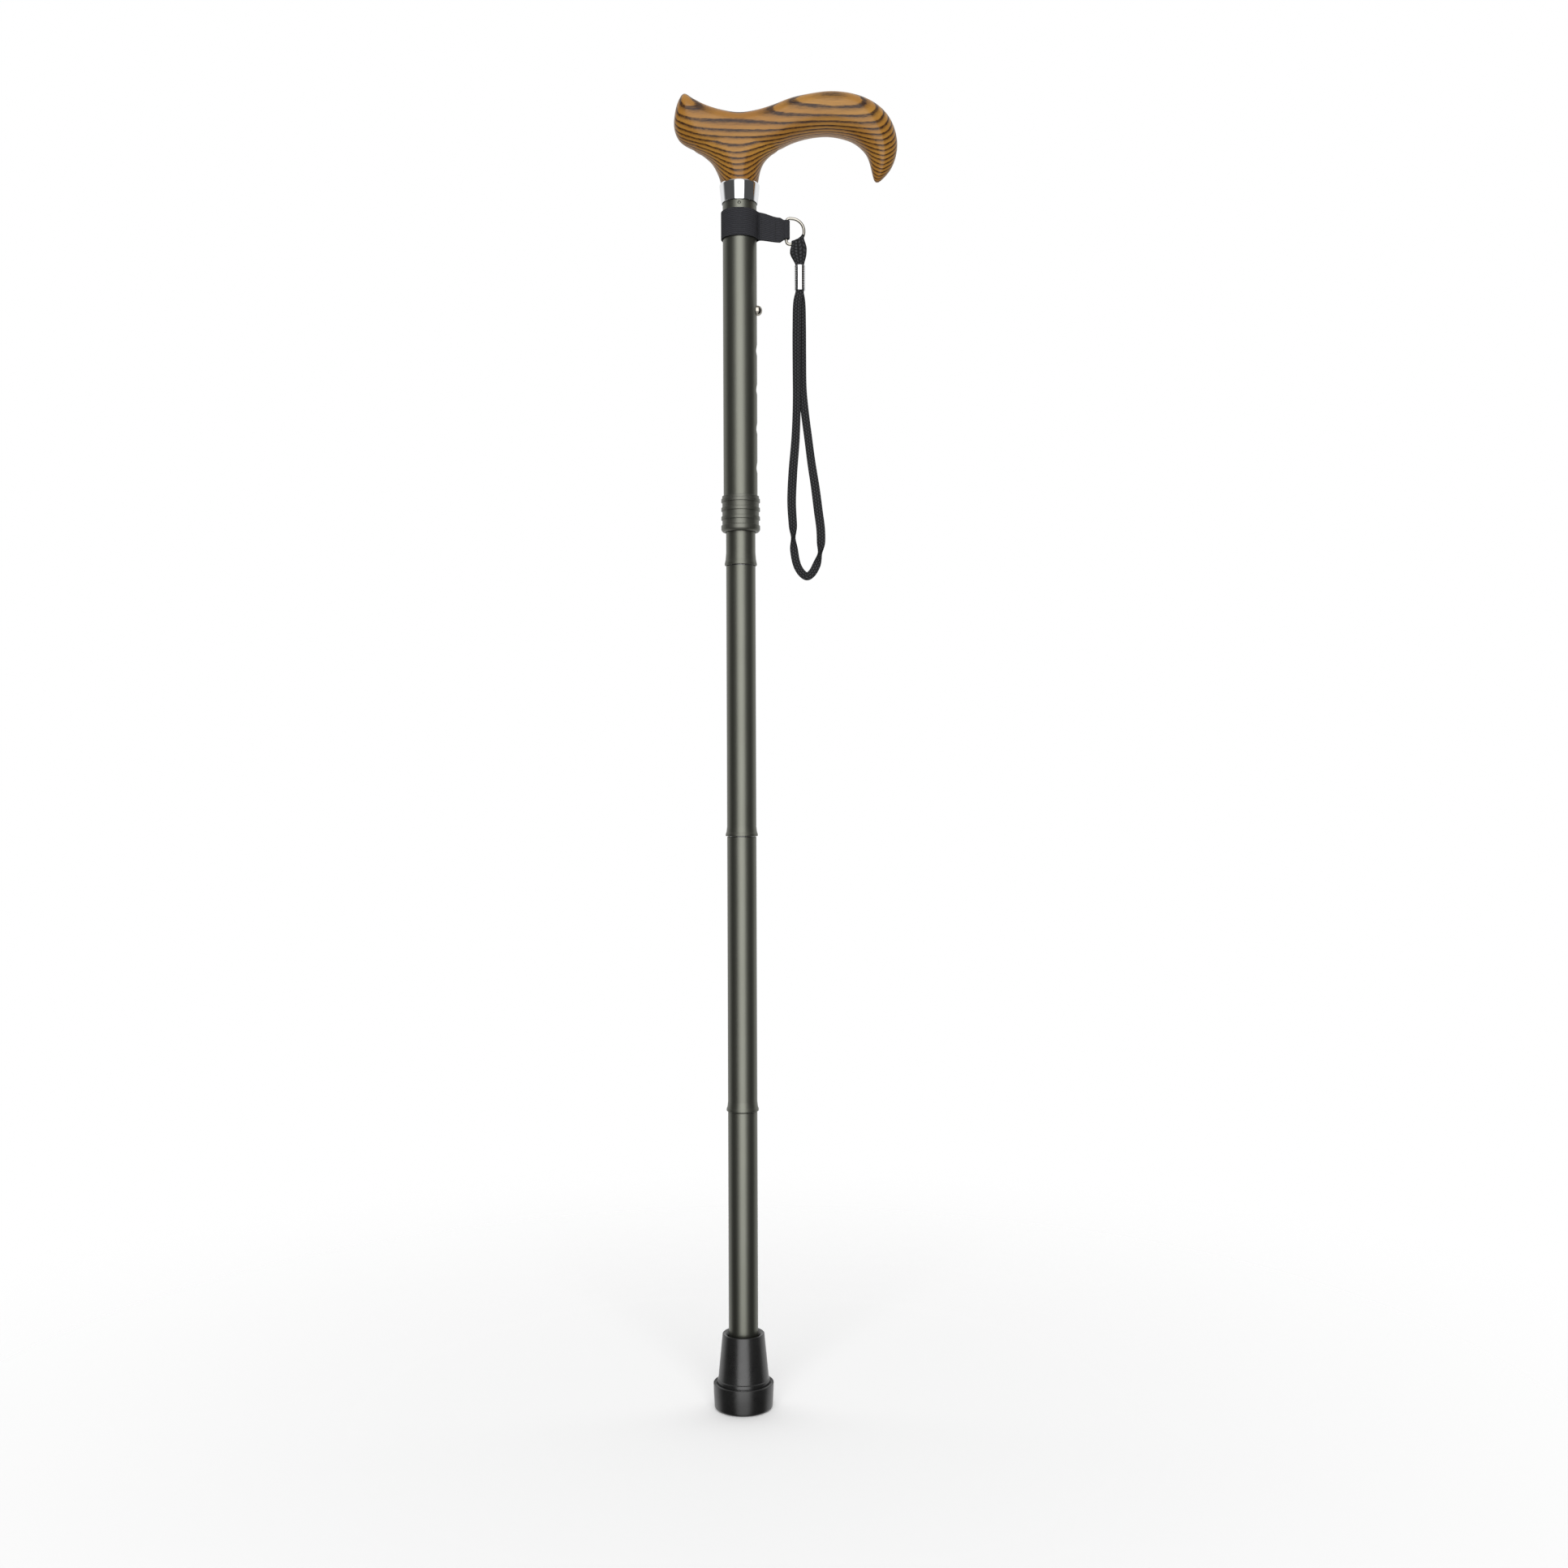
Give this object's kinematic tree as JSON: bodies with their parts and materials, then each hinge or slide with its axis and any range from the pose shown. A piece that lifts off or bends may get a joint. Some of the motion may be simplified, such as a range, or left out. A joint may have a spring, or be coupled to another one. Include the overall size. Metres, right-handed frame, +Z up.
{
  "type": "walking cane",
  "caption": "Folding, height-adjustable walking cane with a wooden derby handle, a single rubber tip and a braided wrist loop.",
  "frame": {"origin": "centre of the rubber tip's flat base, where the cane stands on the floor", "axes": "+Z up along the shaft, +X from the shaft towards the handle's hook, +Y across the grip"},
  "size_m": [0.1451, 0.0392, 0.8523],
  "materials": {
    "wood": "satin lacquer, open grain",
    "plated": "polished plating",
    "gunmetal": "satin metallic",
    "lock_plastic": "satin, tube coloured",
    "steel": "polished nickel",
    "spring_steel": "rolled",
    "aluminium": "bare drawn tube",
    "black_plastic": "moulded",
    "dowel_wood": "bare turned wood",
    "rubber": "moulded, satin",
    "elastic": "ribbed woven elastic",
    "braid": "flat tubular braid",
    "bungee": "braided elastic cord"
  },
  "bodies": {
    "foot_section": {"section_4_tube": "gunmetal", "ferrule": "rubber", "ferrule_washer": "steel", "insert_tube_3": "aluminium", "cord_guide_3": "black_plastic", "cord_anchor_bottom": "black_plastic", "shock_cord": "bungee"},
    "section_3": {"section_3_tube": "gunmetal", "insert_tube_2": "aluminium", "cord_guide_2": "black_plastic"},
    "section_2": {"section_2_tube": "gunmetal", "insert_tube_1": "aluminium", "cord_guide_1": "black_plastic"},
    "section_1": {"section_1_tube": "gunmetal", "cord_anchor_top": "black_plastic", "button_spring": "spring_steel", "tube_cap": "black_plastic"},
    "button": {"snap_button": "steel"},
    "upper": {"upper_tube": "gunmetal", "collet_bushing": "black_plastic", "handle_collar": "plated", "handle_plug": "dowel_wood", "handle_screw": "steel", "screw_washer": "steel", "handle": "wood"},
    "lock": {"lock_collar": "lock_plastic"},
    "strap": {"elastic_strap": "elastic"},
    "ring": {"d_ring": "steel"},
    "loop": {"ring_loop": "braid", "crimp_sleeve": "plated", "wrist_loop": "braid"}
  },
  "joints": [
    {"name": "pull_3", "type": "slide", "parent": "foot_section", "child": "section_3", "axis": [0, 0, 1], "range_m": [0, 0.045], "stiffness_N_per_m": 300, "springref_m": -0.08, "deforming": ["shock_cord"]},
    {"name": "pull_2", "type": "slide", "parent": "section_3", "child": "section_2", "axis": [0, 0, 1], "range_m": [0, 0.045], "stiffness_N_per_m": 300, "springref_m": -0.08, "deforming": ["shock_cord"]},
    {"name": "pull_1", "type": "slide", "parent": "section_2", "child": "section_1", "axis": [0, 0, 1], "range_m": [0, 0.045], "stiffness_N_per_m": 300, "springref_m": -0.08, "deforming": ["shock_cord"]},
    {"name": "height_adjust", "type": "slide", "parent": "section_1", "child": "upper", "axis": [0, 0, 1], "range_m": [0, 0.1016], "deforming": ["snap_button", "button_spring"]},
    {"name": "button_press", "type": "slide", "parent": "section_1", "child": "button", "axis": [-1, 0, 0], "range_m": [0, 0.0048], "stiffness_N_per_m": 800, "springref_m": -0.005, "deforming": ["button_spring"]},
    {"name": "lock_turn", "type": "hinge", "parent": "upper", "child": "lock", "pos_m": [0, 0, 0.579], "axis": [0, 0, 1], "range_deg": [0, 270]},
    {"name": "strap_turn", "type": "hinge", "parent": "upper", "child": "strap", "pos_m": [0, 0, 0.765], "axis": [0, 0, 1], "continuous": true},
    {"name": "ring_swing", "type": "hinge", "parent": "strap", "child": "ring", "pos_m": [0.0304, 0, 0.7623], "axis": [0, 0, 1], "range_deg": [-50, 50]},
    {"name": "loop_swing", "type": "hinge", "parent": "ring", "child": "loop", "pos_m": [0.038, 0, 0.7558], "axis": [1, 0, 0], "range_deg": [-75, 75]}
  ]
}
